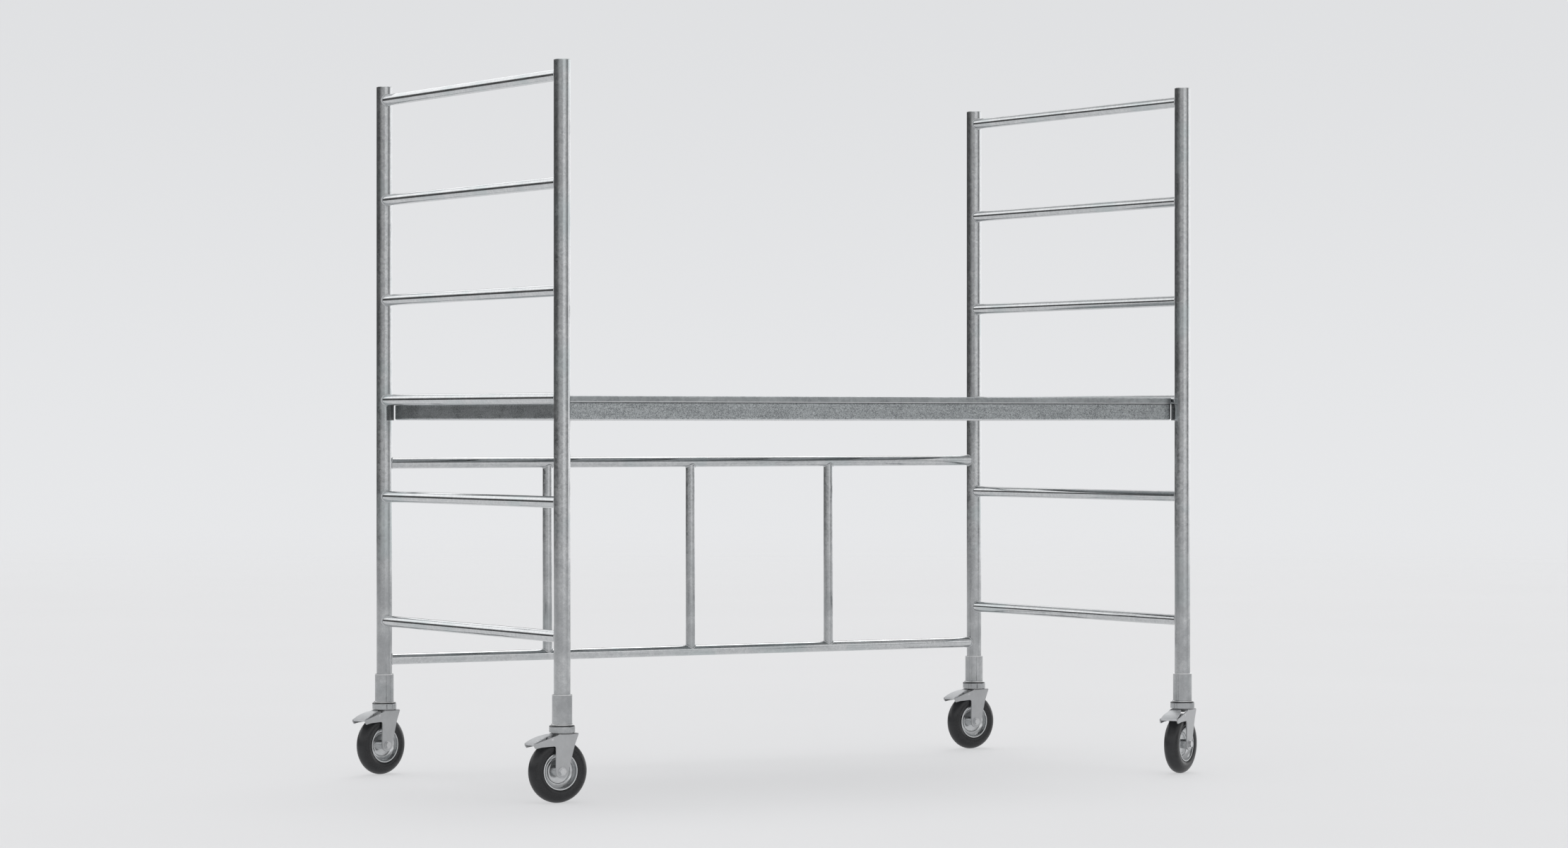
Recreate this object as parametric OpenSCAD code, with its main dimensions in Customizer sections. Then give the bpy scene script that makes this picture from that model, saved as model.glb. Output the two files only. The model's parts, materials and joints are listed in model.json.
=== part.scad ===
// Baker scaffold: two ladder frames, a rear side panel, a steel deck and four braked swivel casters.
// Millimetres, +Z up, +X along the bay, -Y the open front.
// The origin is on the floor, under the middle of the bay.

/* [Bay] */
// Distance between the two ladder frames, centre to centre
bay_length = 1800; // [1400:10:2400]
// Distance between the two uprights of a ladder frame, centre to centre
bay_width = 1000; // [700:10:1300]

/* [Ladder frames] */
// Outside diameter of an upright
upright_d = 40; // [32:0.5:48]
// Wall of an upright
upright_wall = 2; // [1.5:0.1:3]
// Outside diameter of a rung and of a panel rail
rung_d = 28; // [22:0.5:32]
// Wall of a rung and of a panel rail
rung_wall = 1.8; // [1.2:0.1:3]
// Height of the rung that carries the deck
deck_rung_z = 962; // [920:1:1300]
// Spacing of the rungs above the deck
rung_pitch = 257; // [200:1:320]
// Upright left standing above the top rung's centre
top_stub = 35; // [25:1:80]
// Height of the rung below the deck
middle_rung_z = 714; // [600:1:780]
// Height of the lowest rung
lowest_rung_z = 394; // [330:1:500]
// Bevel round the open top of an upright
top_bevel = 0.8; // [0.2:0.1:1]

// Width of the gusset bars under the rungs that carry the deck, along X
gusset_w = 12.5; // [8:0.5:14]
// Reach of a gusset bar from the upright, along Y
gusset_l = 16; // [10:0.5:30]

/* [Rear panel] */
// Height of the panel's top rail
panel_top_z = 800; // [700:1:860]
// Height of the panel's bottom rail above the caster sockets
panel_foot = 38; // [20:1:120]
// Outside diameter of a panel post
post_d = 25; // [20:0.5:27]
// Wall of a panel post
post_wall = 1.8; // [1.2:0.1:3]
// Spacing of the panel posts
post_pitch = 429; // [300:1:460]

/* [Deck] */
// Standing surface above the centre of the rung that carries it
deck_rise = 6; // [4:0.5:8]
// Height of the deck from its underside to its standing surface
deck_depth = 58; // [50:1:80]
// Sheet of the standing surface
deck_sheet = 2; // [1.5:0.1:3]
// Depth of the sheet's folded rim
rim_depth = 14.5; // [12:0.5:20]
// Outer radius of the fold between the sheet and its rim
rim_fold_r = 3; // [2.2:0.1:4]
// Wall of the deck's rails
rail_wall = 3; // [2:0.1:4]
// Width of the rails' bottom flange
rail_flange = 25; // [18:1:40]
// Outer radius of a rail's bottom edge
rail_fold_r = 5; // [4.2:0.1:8]
// Outer radius of the deck's corners
deck_corner_r = 12; // [10:0.5:20]
// Width of a cross bearer
bearer_w = 40; // [30:1:60]
// Wall of a cross bearer
bearer_wall = 2.5; // [2:0.1:4]
// Number of cross bearers
bearer_count = 5; // [3:1:7]
// Gap between the deck and the uprights, along Y
deck_side_gap = 1.5; // [1:0.1:4]
// Gap between the deck and the rungs at its ends
deck_end_gap = 0.3; // [0.2:0.1:1]
// Distance of a deck bolt from the middle of the bay, along Y
bolt_y = 330; // [200:5:340]

/* [Wheels] */
// Diameter of a wheel over its tyre
wheel_d = 152; // [126:1:200]
// Width of a tyre, and the diameter of its round section
tyre_w = 39; // [32:0.5:41]
// Height of the tyre's section above the rim
tyre_h = 31; // [28:0.5:36]
// Diameter of the hub tube
hub_d = 24; // [20:0.5:28]
// Diameter of the axle bolt
axle_d = 12; // [10:0.5:14]
// Distance of the axle behind the swivel axis
trail = 12.5; // [8:0.5:20]

/* [Forks and sockets] */
// Space between a tyre and each cheek of its fork
tyre_side_gap = 3; // [2:0.5:6]
// Wall of a fork's cheeks
fork_wall = 3; // [2:0.1:3.4]
// Wall of a fork's crown
crown_wall = 4; // [3:0.1:5]
// Space between a tyre and the crown above it
crown_gap = 10; // [8:0.5:16]
// Radius of a cheek's round foot
foot_r = 16.5; // [14:0.5:18]
// Shoulder of the swivel head's cover round the socket sleeve
cover_shoulder = 6.85; // [5:0.05:12]
// Height of the swivel head's cover
cover_h = 16.5; // [15:0.5:20]
// Gap between the crown and the cover
swivel_gap = 2; // [1:0.1:3]
// Wall of the socket sleeve
sleeve_wall = 4.1; // [3:0.1:5]
// Height of the socket sleeve above the cover
sleeve_h = 72.5; // [50:0.5:90]
// Diameter of the kingpin
kingpin_d = 14; // [10:0.5:16]

/* [Brake pedals] */
// Reach of a pedal's tip from the swivel axis
pedal_reach = 86.5; // [84:0.5:90]
// Diameter of the pin that a pedal turns on
pedal_pin_d = 6; // [4:0.5:7]
// Space between a raised brake shoe and the tyre
shoe_gap = 4.2; // [4:0.1:5]

/* [Caster headings] */
// Direction of the front left caster's pedal, from +X
heading_front_left = 180; // [0:1:359]
// Direction of the rear left caster's pedal, from +X
heading_rear_left = 197; // [0:1:359]
// Direction of the rear right caster's pedal, from +X
heading_rear_right = 186; // [0:1:359]
// Direction of the front right caster's pedal, from +X
heading_front_right = 211; // [0:1:359]

/* [Hidden] */
$fn = 96;

CORNERS = ["front_left", "rear_left", "rear_right", "front_right"];
CORNER_X = [-1, -1, 1, 1];
CORNER_Y = [-1, 1, 1, -1];
HEADINGS = [heading_front_left, heading_rear_left, heading_rear_right, heading_front_right];
SIDES = ["left", "right"];
SIDE_X = [-1, 1];
CASTER_PIECES = ["socket", "swivel_bearing", "fork", "tyre", "rim", "axle", "brake_pedal", "pedal_pin"];

// Radial clearance of a pin or shaft in its hole, and of an upright in its socket
fit = 0.05;
// Gap between faces that turn past each other
turn_gap = 0.3;
// What a cutting tool reaches past the face that it cuts
over = 1;

// Heights, floor up
wheel_r = wheel_d / 2;
crown_under_z = wheel_d + crown_gap;
crown_z = crown_under_z + crown_wall;
cover_z = crown_z + swivel_gap;
cover_top_z = cover_z + cover_h;
sleeve_top_z = cover_top_z + sleeve_h;
panel_bottom_z = sleeve_top_z + panel_foot;
ledge_h = 10.5;
upright_foot_z = cover_top_z + ledge_h;
rung_z = [
    deck_rung_z + 3 * rung_pitch, deck_rung_z + 2 * rung_pitch, deck_rung_z + rung_pitch,
    deck_rung_z, middle_rung_z, lowest_rung_z
];
overall_height = rung_z[0] + top_stub;
RUNGS = [1 : len(rung_z)];
DECK_RUNG = 4;

// Deck
deck_z = deck_rung_z + deck_rise;
deck_foot_z = deck_z - deck_depth;
deck_x = bay_length / 2 - rung_d / 2 - deck_end_gap;
deck_y = bay_width / 2 - upright_d / 2 - deck_side_gap;
rail_x = deck_x - deck_sheet;
rail_y = deck_y - deck_sheet;
rail_corner_r = deck_corner_r - deck_sheet;
rail_h = deck_depth - deck_sheet;
bearer_pitch = 2 * rail_x / (bearer_count + 1);

// Gusset bars
gusset_inset = 3;
gusset_edge_r = 2;

// Deck bolts: button heads under the sheet, threaded into rivet nuts in the rung
bolt_r = 4;
bolt_head_r = 6;
bolt_head_h = 4.5;
bolt_head_gap = 0.5;
bolt_z = deck_z - deck_sheet - bolt_head_r - bolt_head_gap;
bolt_tip = 20;
rivet_nut_r = 5.5;
rivet_nut_l = 16;
rivet_nut_inset = 1;
bolt_head_bevel = 2;

// Fork, in a frame with the swivel axis upright at the origin and +X towards the pedal
cheek_inner_y = tyre_w / 2 + tyre_side_gap;
cheek_y = cheek_inner_y + fork_wall;
fork_w = 2 * cheek_y;
crown_back = 32;
crown_front = 18;
crown_fold_r = 4.5;
arm_root_x = 23.4;
arm_root_drop = 3.8;
arm_tip_x = pedal_reach + 0.5;
arm_tip_drop = 23.4;
arm_under_drop = 29.5;
arm_corner_r = 5;
arm_bend_x = 0.76 * arm_tip_x;
arm_bend_drop = 1.5;
arm_nose = 4;
arm_nose_drop = 4.5;
back_bend = [11.5, 29];

// Wheel
rim_r = wheel_r - tyre_h;
hub_y = cheek_inner_y - turn_gap;
rim_plate = 2.5;
rim_band = 4;
rim_edge_y = tyre_w / 2 - 2.5;
dish_w = 19;
dish_sweep = 0.5;
dish_start_r = rim_r - dish_w;

// Axle bolt
axle_washer_r = 10;
axle_washer_h = 1.5;
axle_head_r = 8.7;
axle_head_h = 5;
axle_nut_h = 12;
axle_nut_r = 11;
axle_stub = 2.5;

// Swivel head
sleeve_r = upright_d / 2 + fit + sleeve_wall;
cover_r = sleeve_r + cover_shoulder;
kingpin_r = kingpin_d / 2;
kingpin_head_r = kingpin_r + 4;
kingpin_head_h = 4;
kingpin_head_bevel = 3;
kingpin_nut_h = 7;
kingpin_stub = 2;
cover_plate = 4.5;
cover_wall = 3.5;
cover_shoulder_r = 4;
weld_bead_r = 2.2;
ledge_w = 2;
ledge_r = upright_d / 2 - upright_wall - ledge_w;
race_gap = 1;
race_r = cover_r - cover_wall - race_gap;
race_inner_r = race_r - 10.5;
race_h = 8;
ball_r = 3.4;
ball_count = 14;
ball_ring_r = (race_r + race_inner_r) / 2;
ball_z = cover_top_z - cover_plate - turn_gap - ball_r;

// Brake pedal
pedal_plate = 2.5;
pedal_rear = [30, crown_z - 1.5];
pedal_tip = [pedal_reach, crown_z - 21.5];
pedal_crown = 3;
pedal_rear_y = 9;
pedal_side_gap = 0.5;
pedal_tip_y = cheek_inner_y - pedal_side_gap;
pedal_lip = 5.5;
pedal_taper = 2.4;
pedal_pin_r = pedal_pin_d / 2;
pin_at = [38, crown_z - 13.5];
lug_r = pedal_pin_r + 2;
lug_wall = 2.5;
shoe_x = [48, 60];
shoe_y = 9;

// ---------- placing ----------

// Puts a caster's piece at corner c, turned to its heading
module at_corner(c) {
    translate([CORNER_X[c] * bay_length / 2, CORNER_Y[c] * bay_width / 2, 0])
        rotate([0, 0, HEADINGS[c]])
            children();
}

// Extrudes an outline drawn as (x, z) to both sides of the plane y = 0
module across(width) {
    rotate([90, 0, 0])
        linear_extrude(height = width, center = true)
            children();
}

// Extrudes an outline drawn as (y, z) from x = x0 to x = x1
module along(x0, x1) {
    translate([x0, 0, 0])
        rotate([90, 0, 90])
            linear_extrude(height = x1 - x0)
                children();
}

// ---------- ladder frames ----------

// The upright at corner c: an open tube standing on the ledge of its socket
module upright(c) {
    r = upright_d / 2;
    h = overall_height - upright_foot_z;
    color("silver")
        translate([CORNER_X[c] * bay_length / 2, CORNER_Y[c] * bay_width / 2, upright_foot_z])
            rotate_extrude()
                polygon([
                    [r - upright_wall, 0], [r, 0], [r, h - top_bevel], [r - top_bevel, h],
                    [r - upright_wall, h]
                ]);
}

// The room that the uprights at y = +-bay_width / 2 take from what is coped to them at height z
module upright_cores(x, z, reach = rung_d) {
    for (y = [-1, 1])
        translate([x, y * bay_width / 2, z - reach])
            cylinder(h = 2 * reach, d = upright_d);
}

// Rung n of one ladder frame, coped to both uprights
module rung(side, n) {
    x = SIDE_X[side] * bay_length / 2;
    z = rung_z[n - 1];
    color("silver")
        difference() {
            translate([x, 0, z])
                rotate([90, 0, 0])
                    difference() {
                        cylinder(h = bay_width, d = rung_d, center = true);
                        cylinder(h = bay_width + over, d = rung_d - 2 * rung_wall, center = true);
                    }
            upright_cores(x, z);
            if (n == DECK_RUNG)
                deck_bolt_places(side)
                    rotate([0, 90, 0])
                        translate([0, 0, -over])
                            cylinder(h = rung_d / 2 + over, r = rivet_nut_r + fit);
        }
}

// A rectangle from the origin with round corners
module soft_rectangle(w, l, r) {
    translate([r, 0])
        square([w - 2 * r, l]);
    translate([0, r])
        square([w, l - 2 * r]);
    for (x = [r, w - r], y = [r, l - r])
        translate([x, y])
            circle(r = r);
}

// The four gusset bars, each in the corner under a deck rung and beside its upright, coped to both
module deck_gussets() {
    inner_x = bay_length / 2 - rung_d / 2 + gusset_inset;
    inner_y = bay_width / 2 - upright_d / 2 - gusset_l;
    color("silver")
        for (x = SIDE_X)
            difference() {
                for (y = [-1, 1])
                    scale([x, y, 1])
                        translate([inner_x, inner_y, deck_foot_z])
                            linear_extrude(height = deck_rung_z - deck_foot_z)
                                soft_rectangle(gusset_w, gusset_l + upright_d / 2, gusset_edge_r);
                upright_cores(x * bay_length / 2, deck_rung_z, deck_depth);
                translate([x * bay_length / 2, 0, deck_rung_z])
                    rotate([90, 0, 0])
                        cylinder(h = bay_width, d = rung_d, center = true);
            }
}

// ---------- rear panel ----------

// A rail of the rear panel, coped to the two rear uprights
module panel_rail(z) {
    color("silver")
        difference() {
            translate([0, bay_width / 2, z])
                rotate([0, 90, 0])
                    difference() {
                        cylinder(h = bay_length, d = rung_d, center = true);
                        cylinder(h = bay_length + over, d = rung_d - 2 * rung_wall, center = true);
                    }
            for (x = SIDE_X)
                upright_cores(x * bay_length / 2, z);
        }
}

// The three posts of the rear panel, coped to both rails
module rear_posts() {
    color("silver")
        for (i = [-1 : 1])
            difference() {
                translate([i * post_pitch, bay_width / 2, panel_bottom_z])
                    difference() {
                        cylinder(h = panel_top_z - panel_bottom_z, d = post_d);
                        translate([0, 0, -over])
                            cylinder(
                                h = panel_top_z - panel_bottom_z + 2 * over,
                                d = post_d - 2 * post_wall
                            );
                    }
                for (z = [panel_bottom_z, panel_top_z])
                    translate([i * post_pitch, bay_width / 2, z])
                        rotate([0, 90, 0])
                            cylinder(h = 2 * post_d, d = rung_d, center = true);
            }
}

// ---------- deck ----------

// Sweeps an outline straight along one side of the deck. The outline's x is the distance inwards
// from the outer face, and its y is the height. side_at is the outer face's distance from the middle.
module straight_side(side_at, half_length) {
    translate([0, -side_at, 0])
        along(-half_length, half_length)
            children();
}

// Sweeps an outline round a quarter turn of outer radius r, at the corner with the lowest x and y
module corner_turn(x, y, r) {
    translate([-x + r, -y + r, 0])
        rotate([0, 0, 180])
            rotate_extrude(angle = 90)
                translate([r, 0])
                    mirror([1, 0])
                        intersection() {
                            children();
                            square([r, deck_depth]);
                        }
}

// Outline of the sheet's edge: the rim and the fold above it
module rim_outline() {
    fold_y = rim_depth - rim_fold_r;
    square([deck_sheet, fold_y]);
    intersection() {
        square([rim_fold_r, rim_depth]);
        translate([rim_fold_r, fold_y])
            difference() {
                circle(r = rim_fold_r);
                circle(r = rim_fold_r - deck_sheet);
                translate([-rim_fold_r, -2 * rim_fold_r])
                    square(2 * rim_fold_r);
            }
    }
    translate([rim_fold_r, rim_depth - deck_sheet])
        square([deck_corner_r - rim_fold_r, deck_sheet]);
}

// The standing surface: one sheet whose four edges are folded down over the rails
module deck_sheet_piece() {
    inner_x = deck_x - deck_corner_r;
    inner_y = deck_y - deck_corner_r;
    color("gainsboro")
        translate([0, 0, deck_z - rim_depth])
            difference() {
                union() {
                    translate([-inner_x, -inner_y, rim_depth - deck_sheet])
                        cube([2 * inner_x, 2 * inner_y, deck_sheet]);
                    for (a = [0, 180])
                        rotate([0, 0, a]) {
                            straight_side(deck_y, inner_x) rim_outline();
                            rotate([0, 0, 90])
                                straight_side(deck_x, inner_y) rim_outline();
                            corner_turn(deck_x, deck_y, deck_corner_r) rim_outline();
                            rotate([0, 0, 90])
                                corner_turn(deck_y, deck_x, deck_corner_r) rim_outline();
                        }
                }
                translate([0, 0, -(deck_z - rim_depth)])
                    deck_bolt_holes();
            }
}

// Outline of a deck rail: a web with a round bottom edge and a flange turned inwards.
// The web's top edge is rounded to lie inside the sheet's fold.
module rail_outline() {
    top_r = rim_fold_r - deck_sheet;
    translate([0, rail_fold_r])
        square([rail_wall, rail_h - rail_fold_r - top_r]);
    translate([top_r, rail_h - top_r]) {
        square([rail_wall - top_r, top_r]);
        intersection() {
            circle(r = top_r);
            translate([-top_r, 0])
                square(top_r);
        }
    }
    intersection() {
        square(rail_fold_r);
        translate([rail_fold_r, rail_fold_r])
            difference() {
                circle(r = rail_fold_r);
                circle(r = rail_fold_r - rail_wall);
            }
    }
    translate([rail_fold_r, 0])
        square([rail_flange - rail_fold_r, rail_wall]);
}

// A side rail, with the rounded corner at each of its ends. side is -1 for the front, 1 for the rear
module deck_side_rail(side) {
    color("gainsboro")
        translate([0, 0, deck_foot_z])
            rotate([0, 0, side > 0 ? 180 : 0])
                union() {
                    straight_side(rail_y, rail_x - rail_corner_r) rail_outline();
                    corner_turn(rail_x, rail_y, rail_corner_r) rail_outline();
                    mirror([1, 0, 0])
                        corner_turn(rail_x, rail_y, rail_corner_r) rail_outline();
                }
}

// An end rail, straight between the rounded corners. side indexes SIDES
module deck_end_rail(side) {
    color("gainsboro")
        difference() {
            translate([0, 0, deck_foot_z])
                rotate([0, 0, side == 0 ? -90 : 90])
                    difference() {
                        straight_side(rail_x, rail_y - rail_corner_r) rail_outline();
                        // room for the side rails' bottom flanges
                        for (x = [-1, 1])
                            translate([x * rail_y - rail_flange, -rail_x + rail_corner_r, -over])
                                cube([2 * rail_flange, rail_flange, rail_wall + 2 * over]);
                    }
            deck_bolt_holes();
        }
}

// Cross bearers: channels open downwards, standing on the side rails' flanges under the sheet
module deck_bearers() {
    inner_y = rail_y - rail_wall;
    bearer_h = rail_h - rail_wall;
    notch = rail_fold_r - rail_wall;
    color("gainsboro")
        for (i = [1 : bearer_count])
            translate([-rail_x + i * bearer_pitch, 0, deck_foot_z + rail_wall])
                difference() {
                    rotate([0, 0, 90])
                        along(-inner_y, inner_y)
                            difference() {
                                translate([-bearer_w / 2, 0])
                                    square([bearer_w, bearer_h]);
                                translate([-bearer_w / 2 + bearer_wall, -over])
                                    square([
                                        bearer_w - 2 * bearer_wall, bearer_h - bearer_wall + over
                                    ]);
                            }
                    // the ends clear the rails' bottom folds
                    for (side = [-1, 1])
                        translate([0, side * inner_y, 0])
                            cube([bearer_w + over, 2 * notch, 2 * notch], center = true);
                }
}

// Puts a thing at each deck bolt of one end, at the deck's end face, with +X outwards
module deck_bolt_places(side) {
    for (y = [-1, 1])
        translate([SIDE_X[side] * deck_x, y * bolt_y, bolt_z])
            rotate([0, 0, side == 0 ? 180 : 0])
                children();
}

// The holes of the deck bolts through the rim and the end rails
module deck_bolt_holes() {
    for (side = [0, 1])
        deck_bolt_places(side)
            translate([-deck_sheet - rail_wall - over, 0, 0])
                rotate([0, 90, 0])
                    cylinder(h = deck_sheet + rail_wall + 2 * over, r = bolt_r + fit);
}

// Four button-head bolts, each with its rivet nut inside the rung
module deck_bolts() {
    inner = deck_sheet + rail_wall;
    nut_at = deck_end_gap + rivet_nut_inset;
    color("dimgray")
        for (side = [0, 1])
            deck_bolt_places(side)
                rotate([0, 90, 0]) {
                    translate([0, 0, -inner - bolt_head_h])
                        cylinder(h = bolt_head_h, r1 = bolt_head_r - bolt_head_bevel, r2 = bolt_head_r);
                    translate([0, 0, -inner - over])
                        cylinder(h = inner + bolt_tip + over, r = bolt_r);
                    translate([0, 0, nut_at])
                        difference() {
                            cylinder(h = rivet_nut_l, r = rivet_nut_r);
                            translate([0, 0, -over])
                                cylinder(h = rivet_nut_l + 2 * over, r = bolt_r + fit);
                        }
                }
}

// ---------- casters, each in a frame with its swivel axis at the origin and +X towards the pedal ----------

// Sleeve and swivel-head cover in one piece: the upright stands in it
module socket() {
    bore_r = upright_d / 2 + fit;
    shoulder_z = cover_h - cover_shoulder_r;
    color("lightgray")
        translate([0, 0, cover_z])
            rotate_extrude()
                difference() {
                    union() {
                        square([cover_r, shoulder_z]);
                        square([cover_r - cover_shoulder_r, cover_h]);
                        translate([cover_r - cover_shoulder_r, shoulder_z])
                            intersection() {
                                circle(r = cover_shoulder_r);
                                square(cover_shoulder_r);
                            }
                        square([sleeve_r, cover_h + sleeve_h]);
                        translate([sleeve_r, cover_h + weld_bead_r / 2])
                            circle(r = weld_bead_r);
                    }
                    square([cover_r - cover_wall, cover_h - cover_plate]);
                    square([kingpin_r + fit, cover_h]);
                    translate([0, cover_h])
                        square([ledge_r, ledge_h]);
                    translate([0, cover_h + ledge_h])
                        square([bore_r, sleeve_h]);
                }
}

// Race ring on the crown, with its ring of balls
module swivel_bearing() {
    color("gray") {
        translate([0, 0, crown_z])
            rotate_extrude()
                difference() {
                    translate([race_inner_r, 0])
                        square([race_r - race_inner_r, race_h]);
                    translate([ball_ring_r, ball_z - crown_z])
                        circle(r = ball_r + fit);
                }
        for (i = [0 : ball_count - 1])
            rotate([0, 0, i * 360 / ball_count])
                translate([ball_ring_r, 0, ball_z])
                    sphere(r = ball_r);
    }
}

// Outline of a fork's cheek and arm, as (x, z)
module cheek_outline() {
    front_x = trail + foot_r;
    under_z = crown_z - arm_under_drop;
    difference() {
        union() {
            translate([trail, wheel_r])
                circle(r = foot_r);
            polygon([
                [front_x, wheel_r], [front_x, under_z - arm_corner_r],
                [front_x + arm_corner_r, under_z], [arm_bend_x, under_z - arm_bend_drop],
                [arm_tip_x - arm_nose, under_z - arm_nose_drop], [arm_tip_x, under_z + arm_bend_drop],
                [arm_tip_x, crown_z - arm_tip_drop], [arm_root_x, crown_z - arm_root_drop],
                [crown_front, crown_z], [-crown_back, crown_z],
                [-crown_back + back_bend[0], crown_z - back_bend[1]],
                [trail - foot_r, wheel_r], [trail, wheel_r]
            ]);
            // room for the round inner corner between leg and arm
            translate([front_x, under_z - arm_corner_r])
                square(arm_corner_r);
        }
        translate([front_x + arm_corner_r, under_z - arm_corner_r])
            intersection() {
                circle(r = arm_corner_r);
                translate([-arm_corner_r, -arm_corner_r])
                    square([arm_corner_r, 2 * arm_corner_r]);
            }
    }
}

// Section across a fork as (y, z): an upside-down U with round folds
module fork_section() {
    inner_fold_r = crown_fold_r - fork_wall;
    difference() {
        folded_block(cheek_y, crown_z, crown_fold_r);
        translate([0, -over])
            folded_block(cheek_inner_y, crown_under_z + over, inner_fold_r);
    }
}

// A block of half width w and height h with its two top corners rounded
module folded_block(w, h, r) {
    translate([-w, 0])
        square([2 * w, h - r]);
    translate([-w + r, 0])
        square([2 * (w - r), h]);
    for (side = [-1, 1])
        translate([side * (w - r), h - r])
            circle(r = r);
}

// Pressed fork with the two arms that guard the pedal
module fork() {
    color("silver")
        difference() {
            intersection() {
                across(fork_w) cheek_outline();
                along(-crown_back - over, arm_tip_x + over) fork_section();
            }
            translate([0, 0, crown_under_z - over])
                cylinder(h = crown_wall + 2 * over, r = kingpin_r + fit);
            across(fork_w + over) {
                translate([trail, wheel_r])
                    circle(d = axle_d + 2 * fit);
                translate(pin_at)
                    circle(r = pedal_pin_r + fit);
            }
        }
}

// Solid rubber tyre with a round section
module tyre() {
    color("dimgray")
        translate([trail, 0, wheel_r])
            rotate([90, 0, 0])
                rotate_extrude()
                    intersection() {
                        translate([wheel_r - tyre_w / 2, 0])
                            circle(d = tyre_w);
                        translate([rim_r, -tyre_w / 2])
                            square([wheel_r, tyre_w]);
                    }
}

// Half of the rim's section, as (radius, distance from the wheel's middle plane)
module half_rim_outline() {
    dish_r = dish_w + dish_sweep;
    hub_bore_r = axle_d / 2 + fit;
    translate([hub_bore_r, 0])
        square([hub_d / 2 - hub_bore_r, hub_y]);
    translate([hub_bore_r, 0])
        square([dish_start_r - hub_bore_r, rim_plate]);
    intersection() {
        translate([dish_start_r, dish_r])
            difference() {
                circle(r = dish_r);
                circle(r = dish_r - rim_plate);
            }
        translate([dish_start_r, 0])
            square([dish_w, rim_edge_y]);
    }
    translate([rim_r - rim_plate, rim_edge_y - rim_band])
        square([rim_plate, rim_band]);
}

// Dished steel rim with its hub tube
module rim() {
    color("silver")
        translate([trail, 0, wheel_r])
            rotate([90, 0, 0])
                rotate_extrude() {
                    half_rim_outline();
                    mirror([0, 1])
                        half_rim_outline();
                }
}

// Axle bolt and its nut: the head is on the +Y side
module axle() {
    axle_r = axle_d / 2;
    shank_l = 2 * cheek_y + axle_washer_h + axle_nut_h + axle_stub;
    color("lightgray")
        translate([trail, 0, wheel_r])
            rotate([-90, 0, 0]) {
                translate([0, 0, cheek_y]) {
                    cylinder(h = axle_washer_h, r = axle_washer_r);
                    cylinder(h = axle_washer_h + axle_head_h, r = axle_head_r, $fn = 6);
                }
                translate([0, 0, cheek_y + axle_washer_h - shank_l])
                    cylinder(h = shank_l, r = axle_r);
                translate([0, 0, -cheek_y - axle_nut_h])
                    difference() {
                        cylinder(h = axle_nut_h, r = axle_nut_r, $fn = 6);
                        translate([0, 0, -over])
                            cylinder(h = axle_nut_h + 2 * over, r = axle_r + fit);
                    }
            }
}

// Centre and radius of the arc that runs from p to q and rises by crown above their chord
function arc_radius(p, q, crown) = norm(q - p) ^ 2 / (8 * crown) + crown / 2;
function arc_centre(p, q, crown) =
    (p + q) / 2
    - [p[1] - q[1], q[0] - p[0]] / norm(q - p) * (arc_radius(p, q, crown) - crown);

// The disc under a pedal's top surface, reaching depth below it
module pedal_disc(depth) {
    translate(arc_centre(pedal_rear, pedal_tip, pedal_crown))
        circle(r = arc_radius(pedal_rear, pedal_tip, pedal_crown) - depth, $fn = 360);
}

// Half width of the pedal's plate at x: narrow under the swivel head, full towards the tip
function pedal_half_width(x) =
    pedal_tip_y
    - (pedal_tip_y - pedal_rear_y) * ((pedal_tip[0] - x) / (pedal_tip[0] - pedal_rear[0])) ^ pedal_taper;

// Plan of the pedal's plate
module pedal_plan() {
    steps = 14;
    xs = [for (i = [0 : steps]) pedal_rear[0] + (pedal_tip[0] - pedal_rear[0]) * i / steps];
    polygon(concat(
        [for (x = xs) [x, pedal_half_width(x)]],
        [for (i = [0 : steps]) [xs[steps - i], -pedal_half_width(xs[steps - i])]]
    ));
}

// Brake pedal: a curved plate with a turned-down lip, two lugs on the pin and a shoe over the tyre
module brake_pedal() {
    color("silver")
        difference() {
            union() {
                intersection() {
                    across(fork_w) {
                        difference() {
                            pedal_disc(0);
                            pedal_disc(pedal_plate);
                        }
                        intersection() {
                            pedal_disc(0);
                            translate([pedal_tip[0] - pedal_plate, pedal_tip[1] - pedal_lip])
                                square([pedal_plate, 2 * pedal_lip]);
                        }
                    }
                    translate([0, 0, crown_z / 2])
                        linear_extrude(height = crown_z)
                            pedal_plan();
                }
                for (side = [-1, 1])
                    translate([0, side * (pedal_rear_y - lug_wall / 2), 0])
                        across(lug_wall)
                            intersection() {
                                pedal_disc(pedal_plate / 2);
                                union() {
                                    translate(pin_at)
                                        circle(r = lug_r);
                                    translate([pin_at[0] - lug_r, pin_at[1]])
                                        square([2 * lug_r, crown_z - pin_at[1]]);
                                }
                            }
                across(2 * shoe_y)
                    difference() {
                        intersection() {
                            pedal_disc(pedal_plate / 2);
                            translate([shoe_x[0], wheel_r])
                                square([shoe_x[1] - shoe_x[0], crown_z - wheel_r]);
                        }
                        translate([trail, wheel_r])
                            circle(r = wheel_r + shoe_gap, $fn = 180);
                    }
            }
            across(fork_w)
                translate(pin_at)
                    circle(r = pedal_pin_r + fit);
        }
}

// Pin through both cheeks that the pedal turns on
module pedal_pin() {
    color("gray")
        across(fork_w)
            translate(pin_at)
                circle(r = pedal_pin_r);
}

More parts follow.
